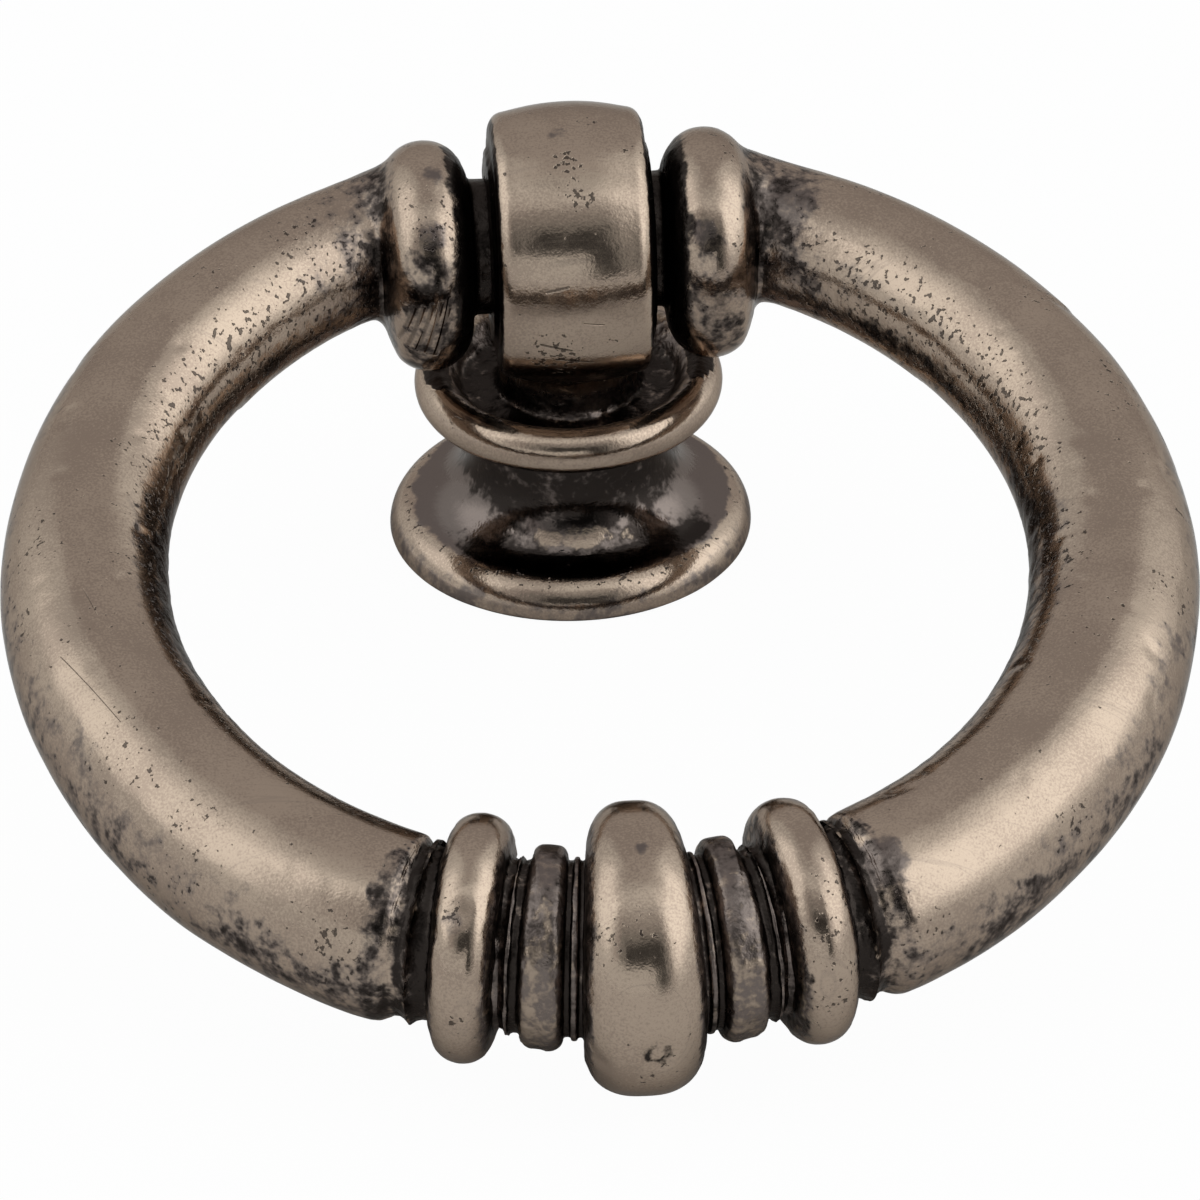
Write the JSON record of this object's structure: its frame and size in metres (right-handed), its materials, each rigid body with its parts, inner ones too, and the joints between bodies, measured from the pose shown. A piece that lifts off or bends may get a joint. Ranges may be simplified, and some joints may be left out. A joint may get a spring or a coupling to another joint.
{
  "type": "ring pull handle",
  "caption": "Cast ring pull for a drawer or cabinet: a tapered ring with a turned bead ornament swings on trunnions in a short round post.",
  "frame": {"origin": "centre of the post's flat mounting face, at the mouth of its fixing hole", "axes": "+Z along the post away from the mounting face, X along the ring's pivot, the ring hangs towards -Y"},
  "size_m": [0.054, 0.0589, 0.0222],
  "materials": {
    "post_metal": "cast, satin, with a dark brown patina in the recesses",
    "ring_metal": "cast, satin, with a dark brown patina in the recesses"
  },
  "bodies": {
    "post": {"post": "post_metal"},
    "ring": {"ring": "ring_metal"}
  },
  "joints": [
    {"name": "ring_hinge", "type": "hinge", "parent": "post", "child": "ring", "pos_m": [0, 0, 0.0156], "axis": [-1, 0, 0], "range_deg": [0, 156]}
  ]
}
